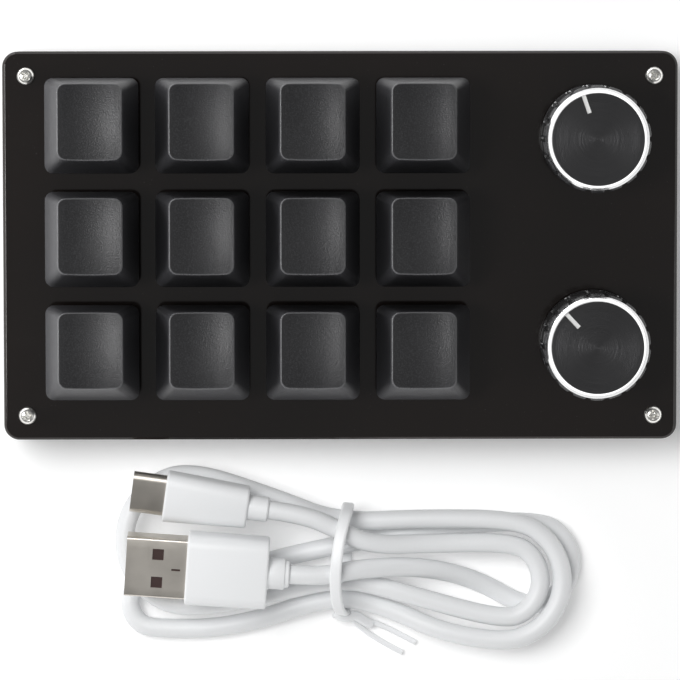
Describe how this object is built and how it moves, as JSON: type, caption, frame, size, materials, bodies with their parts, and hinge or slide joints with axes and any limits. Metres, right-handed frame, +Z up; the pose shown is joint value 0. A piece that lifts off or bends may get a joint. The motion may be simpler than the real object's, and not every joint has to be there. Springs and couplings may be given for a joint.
{
  "type": "macro keypad",
  "caption": "Low desk keypad with a grid of sprung push keys and a pair of turning, pressing knobs, with its tied white USB lead in front.",
  "frame": {"origin": "centre of the keypad's footprint, on the plane that its feet stand on", "axes": "+X along the keypad's length towards the knobs, +Y towards the back, +Z up"},
  "size_m": [0.131, 0.1208, 0.0302],
  "materials": {
    "plate": "polished black acrylic sheet",
    "case": "fine moulded grain",
    "keycap": "fine moulded grain, slightly worn",
    "switch_housing": "satin moulded",
    "stem": "satin moulded",
    "spring": "drawn wire",
    "contacts": "plated",
    "board": "satin solder mask",
    "chip": "moulded",
    "screws": "nickel plated",
    "feet": "matt",
    "socket": "nickel plated",
    "encoder": "stamped",
    "rotor": "moulded",
    "shaft": "turned",
    "knob": "satin moulded",
    "knob_cap": "turned and blackened, with a bright cut rim",
    "cable": "smooth white jacket",
    "grip": "smooth white moulded",
    "plug_shell": "nickel plated",
    "tie": "coated wire"
  },
  "bodies": {
    "base": {"top_plate": "plate", "lower_case": "case", "circuit_board": "board", "plate_screws": "screws", "rubber_feet": "feet", "usb_receptacle": "socket", "controller_chip": "chip", "switch_lower_housings": "switch_housing", "switch_upper_housings": "switch_housing", "switch_contact_pins": "contacts", "encoder_bodies": "encoder", "key_spring_r1c1": "spring", "key_spring_r1c2": "spring", "key_spring_r1c3": "spring", "key_spring_r1c4": "spring", "key_spring_r2c1": "spring", "key_spring_r2c2": "spring", "key_spring_r2c3": "spring", "key_spring_r2c4": "spring", "key_spring_r3c1": "spring", "key_spring_r3c2": "spring", "key_spring_r3c3": "spring", "key_spring_r3c4": "spring", "usb_cable": "cable", "usb_plug_grips": "grip", "usb_a_plug_shell": "plug_shell", "usb_c_plug_shell": "plug_shell", "cable_tie": "tie"},
    "key_r1c1": {"keycap_r1c1": "keycap", "key_stem_r1c1": "stem"},
    "key_r1c2": {"keycap_r1c2": "keycap", "key_stem_r1c2": "stem"},
    "key_r1c3": {"keycap_r1c3": "keycap", "key_stem_r1c3": "stem"},
    "key_r1c4": {"keycap_r1c4": "keycap", "key_stem_r1c4": "stem"},
    "key_r2c1": {"keycap_r2c1": "keycap", "key_stem_r2c1": "stem"},
    "key_r2c2": {"keycap_r2c2": "keycap", "key_stem_r2c2": "stem"},
    "key_r2c3": {"keycap_r2c3": "keycap", "key_stem_r2c3": "stem"},
    "key_r2c4": {"keycap_r2c4": "keycap", "key_stem_r2c4": "stem"},
    "key_r3c1": {"keycap_r3c1": "keycap", "key_stem_r3c1": "stem"},
    "key_r3c2": {"keycap_r3c2": "keycap", "key_stem_r3c2": "stem"},
    "key_r3c3": {"keycap_r3c3": "keycap", "key_stem_r3c3": "stem"},
    "key_r3c4": {"keycap_r3c4": "keycap", "key_stem_r3c4": "stem"},
    "rotor_rear": {"encoder_rotor_rear": "rotor"},
    "knob_rear": {"encoder_shaft_rear": "shaft", "knob_body_rear": "knob", "knob_cap_rear": "knob_cap"},
    "rotor_front": {"encoder_rotor_front": "rotor"},
    "knob_front": {"encoder_shaft_front": "shaft", "knob_body_front": "knob", "knob_cap_front": "knob_cap"}
  },
  "joints": [
    {"name": "press_r1c1", "type": "slide", "parent": "base", "child": "key_r1c1", "axis": [0, 0, -1], "range_m": [0, 0.004], "stiffness_N_per_m": 75, "springref_m": -0.004, "deforming": ["key_spring_r1c1"]},
    {"name": "press_r1c2", "type": "slide", "parent": "base", "child": "key_r1c2", "axis": [0, 0, -1], "range_m": [0, 0.004], "stiffness_N_per_m": 75, "springref_m": -0.004, "deforming": ["key_spring_r1c2"]},
    {"name": "press_r1c3", "type": "slide", "parent": "base", "child": "key_r1c3", "axis": [0, 0, -1], "range_m": [0, 0.004], "stiffness_N_per_m": 75, "springref_m": -0.004, "deforming": ["key_spring_r1c3"]},
    {"name": "press_r1c4", "type": "slide", "parent": "base", "child": "key_r1c4", "axis": [0, 0, -1], "range_m": [0, 0.004], "stiffness_N_per_m": 75, "springref_m": -0.004, "deforming": ["key_spring_r1c4"]},
    {"name": "press_r2c1", "type": "slide", "parent": "base", "child": "key_r2c1", "axis": [0, 0, -1], "range_m": [0, 0.004], "stiffness_N_per_m": 75, "springref_m": -0.004, "deforming": ["key_spring_r2c1"]},
    {"name": "press_r2c2", "type": "slide", "parent": "base", "child": "key_r2c2", "axis": [0, 0, -1], "range_m": [0, 0.004], "stiffness_N_per_m": 75, "springref_m": -0.004, "deforming": ["key_spring_r2c2"]},
    {"name": "press_r2c3", "type": "slide", "parent": "base", "child": "key_r2c3", "axis": [0, 0, -1], "range_m": [0, 0.004], "stiffness_N_per_m": 75, "springref_m": -0.004, "deforming": ["key_spring_r2c3"]},
    {"name": "press_r2c4", "type": "slide", "parent": "base", "child": "key_r2c4", "axis": [0, 0, -1], "range_m": [0, 0.004], "stiffness_N_per_m": 75, "springref_m": -0.004, "deforming": ["key_spring_r2c4"]},
    {"name": "press_r3c1", "type": "slide", "parent": "base", "child": "key_r3c1", "axis": [0, 0, -1], "range_m": [0, 0.004], "stiffness_N_per_m": 75, "springref_m": -0.004, "deforming": ["key_spring_r3c1"]},
    {"name": "press_r3c2", "type": "slide", "parent": "base", "child": "key_r3c2", "axis": [0, 0, -1], "range_m": [0, 0.004], "stiffness_N_per_m": 75, "springref_m": -0.004, "deforming": ["key_spring_r3c2"]},
    {"name": "press_r3c3", "type": "slide", "parent": "base", "child": "key_r3c3", "axis": [0, 0, -1], "range_m": [0, 0.004], "stiffness_N_per_m": 75, "springref_m": -0.004, "deforming": ["key_spring_r3c3"]},
    {"name": "press_r3c4", "type": "slide", "parent": "base", "child": "key_r3c4", "axis": [0, 0, -1], "range_m": [0, 0.004], "stiffness_N_per_m": 75, "springref_m": -0.004, "deforming": ["key_spring_r3c4"]},
    {"name": "turn_rear", "type": "hinge", "parent": "base", "child": "rotor_rear", "pos_m": [0.0491, 0.021, 0.014], "axis": [0, 0, 1], "continuous": true},
    {"name": "press_knob_rear", "type": "slide", "parent": "rotor_rear", "child": "knob_rear", "axis": [0, 0, -1], "range_m": [0, 0.0005], "stiffness_N_per_m": 1500, "springref_m": -0.002},
    {"name": "turn_front", "type": "hinge", "parent": "base", "child": "rotor_front", "pos_m": [0.0491, -0.0188, 0.014], "axis": [0, 0, 1], "continuous": true},
    {"name": "press_knob_front", "type": "slide", "parent": "rotor_front", "child": "knob_front", "axis": [0, 0, -1], "range_m": [0, 0.0005], "stiffness_N_per_m": 1500, "springref_m": -0.002}
  ]
}
